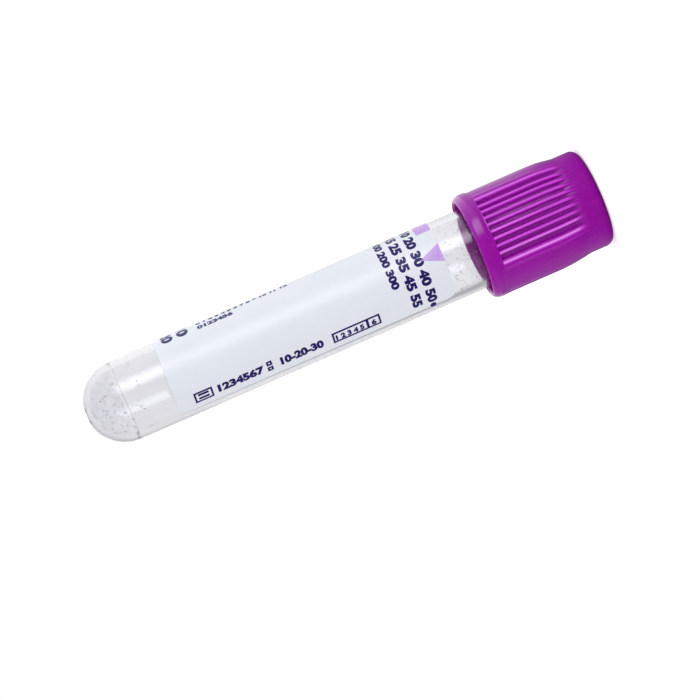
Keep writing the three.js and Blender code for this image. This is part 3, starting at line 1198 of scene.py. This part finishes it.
def sideways(angle):
    """The direction out of the axis at an angle round it."""
    return Vector((math.cos(angle), math.sin(angle), 0))


def wall_place(outwards, height):
    """A place on the inside of the tube's straight wall."""
    return outwards * (tube_radius(height) - WALL) + AXIS * height


def scatter_specks():
    bm = bmesh.new()
    for _ in range(DOME_SPECKS):
        outwards = sideways(dice.uniform(0, math.tau))
        from_axis = DOME_SPREAD * math.sqrt(dice.random())
        if math.cos(from_axis) < 0:
            place = wall_place(outwards, DOME_Z - dice.uniform(0, DOME_DROP))
        else:
            outwards = outwards * math.sin(from_axis) + AXIS * math.cos(from_axis)
            place = outwards * INNER_DOME_RADIUS + AXIS * DOME_Z
        add_speck(bm, place, outwards, speck_size())
    for _ in range(MOUTH_SPECKS):
        outwards = sideways(dice.uniform(0, math.tau))
        height = MOUTH_SPECKS_Z + MOUTH_SPREAD * dice.random() ** 1.6
        place = wall_place(outwards, height)
        add_speck(bm, place, outwards, MOUTH_SIZE * speck_size())
    return bm


speck_finish = mottled_finish(
    "dried_additive", (0.22, 0.20, 0.32), (0.66, 0.64, 0.76), (0.3, 0.5),
    scales=(0.6, 0.1, 0.5), bump=(0.01, 0.3),
)
make_piece("additive_specks", scatter_specks(), speck_finish, "tube")

# %% [markdown]
# The floor and the light
#
# The floor is plain and pale. To the camera it and the backdrop are white, and the floor
# still takes the object's shadow. A tall strip box beside the tube gives its long soft
# reflections, and a broad soft lamp and the sky give the rest. Plastic shows its own
# colour only where it has something dark to reflect, so reflections see a dark card in
# front, a bright studio on one side and a smaller bright patch on the other.

# %% Floor
BRIGHT_SIDE = Vector((0.75, 0.66, 0))
BRIGHT_FOCUS = 3
SECOND_SIDE = Vector((-0.95, 0.31, 0))
SECOND_FOCUS = 5
FLOOR_HALF = 1500
FLOOR_DROP = 0.02
FLOOR_TO_CAMERA = 0.45
FLOOR_THROUGH_TUBE = 0.3
CARD_EDGE = (-0.02, 0.10)


def towards(tree, place, side):
    """How far a place or a direction points to that side."""
    return vector_node(tree, "DOT_PRODUCT", place, side).outputs["Value"]


def second_patch(tree, place):
    """A smaller bright patch of the studio, from 0 off it to 1 in its middle."""
    unit = vector_node(tree, "NORMALIZE", place).outputs[0]
    along = math_node(tree, "MAXIMUM", towards(tree, unit, SECOND_SIDE), 0)
    return math_node(tree, "POWER", along, SECOND_FOCUS)


def build_floor_finish():
    """Diffuse, and lit from itself where it has to look white. In reflections it is the
    dark card, except towards the bright sides."""
    material, tree, shader = new_material("pale_floor")
    rays = make_node(tree, "LightPath").outputs
    through = math_node(tree, "MULTIPLY", rays["Is Transmission Ray"], FLOOR_THROUGH_TUBE)
    direct = math_node(tree, "MULTIPLY", rays["Is Camera Ray"], FLOOR_TO_CAMERA)
    place = make_node(tree, "TexCoord").outputs["Object"]
    edge = {"From Min": CARD_EDGE[0], "From Max": CARD_EDGE[1]}
    edge["Value"] = towards(tree, place, BRIGHT_SIDE)
    off_card = make_node(tree, "MapRange", edge, interpolation_type="SMOOTHSTEP").outputs[0]
    on_card = math_node(tree, "SUBTRACT", 1, off_card)
    card = math_node(tree, "MULTIPLY", rays["Is Glossy Ray"], on_card)
    patch = second_patch(tree, place)
    shade = mix_colours(tree, patch, (0.05, 0.05, 0.05), (0.34, 0.34, 0.34))
    feed(tree, shader, {
        "Base Color": mix_colours(tree, card, (0.8, 0.8, 0.8), shade),
        "Roughness": 1.0, "Specular IOR Level": 0.0, "Emission Color": (1, 1, 1, 1),
        "Emission Strength": math_node(tree, "MAXIMUM", through, direct),
    })
    return material


def lay_floor():
    bm = bmesh.new()
    bmesh.ops.create_grid(bm, x_segments=1, y_segments=1, size=FLOOR_HALF)
    shift(bm, (0, 0, -FLOOR_DROP))
    resize(bm, (MM, MM, MM))
    mesh = to_mesh("floor", bm)
    mesh.materials.append(build_floor_finish())
    floor = add_object("floor", mesh)
    print("floor", 2 * FLOOR_HALF, "mm wide")


lay_floor()


# %% Sky
def build_sky(diffuse, front_gloss, back_gloss, second_gloss):
    """White to the camera and through the tube, and a studio in reflections."""
    world = bpy.data.worlds.new("studio")
    scene.world = world
    world.use_nodes = True
    tree = world.node_tree
    rays = make_node(tree, "LightPath").outputs
    white = math_node(tree, "MAXIMUM", rays["Is Camera Ray"], rays["Is Transmission Ray"])
    direction = make_node(tree, "TexCoord").outputs["Generated"]
    half = math_node(tree, "MULTIPLY_ADD", towards(tree, direction, BRIGHT_SIDE), 0.5, 0.5)
    share = math_node(tree, "POWER", half, BRIGHT_FOCUS)
    first = math_node(tree, "MULTIPLY_ADD", share, back_gloss - front_gloss, front_gloss)
    second = second_patch(tree, direction)
    studio = math_node(tree, "MULTIPLY_ADD", second, second_gloss, first)
    change = math_node(tree, "SUBTRACT", studio, diffuse)
    level = math_node(tree, "MULTIPLY_ADD", rays["Is Glossy Ray"], change, diffuse)
    rest = math_node(tree, "MULTIPLY", math_node(tree, "SUBTRACT", 1, white), level)
    strength = math_node(tree, "ADD", white, rest)
    feed(tree, tree.nodes["Background"], {"Color": (1, 1, 1, 1), "Strength": strength})
    print("sky", world.name)


build_sky(diffuse=1.0, front_gloss=0.05, back_gloss=1.7, second_gloss=0.35)

# %% Lamps
UPPER_END_SHARE = 0.4


def fade_sides(data):
    """Lets a lamp's light fade towards its long sides and its upper end, as a cloth
    box's does."""
    data.use_nodes = True
    tree = data.node_tree
    face = make_node(tree, "NewGeometry").outputs["Parametric"]
    across, along, _ = make_node(tree, "SeparateXYZ", {0: face}).outputs
    bell = math_node(tree, "MULTIPLY", across, math_node(tree, "SUBTRACT", 1, across))
    below_end = math_node(tree, "SUBTRACT", 1, along)
    rise = math_node(tree, "DIVIDE", below_end, UPPER_END_SHARE)
    upper = math_node(tree, "MINIMUM", rise, 1)
    level = math_node(tree, "MULTIPLY", math_node(tree, "MULTIPLY", bell, 4), upper)
    feed(tree, tree.nodes["Emission"], {"Strength": level})


def add_lamp(name, radiance, distance, from_front, height, width, length, gloss_only=False):
    """A soft box that faces the tube's axis, at an angle from the front towards +X."""
    data = bpy.data.lights.new(name, "AREA")
    data.shape = "RECTANGLE"
    data.size = width * MM
    data.size_y = length * MM
    data.energy = radiance * math.pi * data.size * data.size_y
    if gloss_only:
        fade_sides(data)
    lamp = add_object(name, data)
    outwards = sideways(FRONT + math.radians(from_front))
    facing = Matrix((AXIS.cross(outwards), AXIS, outwards)).transposed().to_4x4()
    place = (outwards * distance + AXIS * height) * MM
    lamp.matrix_world = Matrix.Translation(place) @ facing
    lamp.visible_camera = False
    lamp.visible_diffuse = not gloss_only
    lamp.visible_glossy = gloss_only
    print("lamp", name, [round(c, 3) for c in place])


add_lamp(
    "main_strip", radiance=3.3, distance=90, from_front=38, height=61, width=68, length=119,
    gloss_only=True,
)
add_lamp("soft_box", radiance=0.65, distance=600, from_front=60, height=320, width=500, length=500)
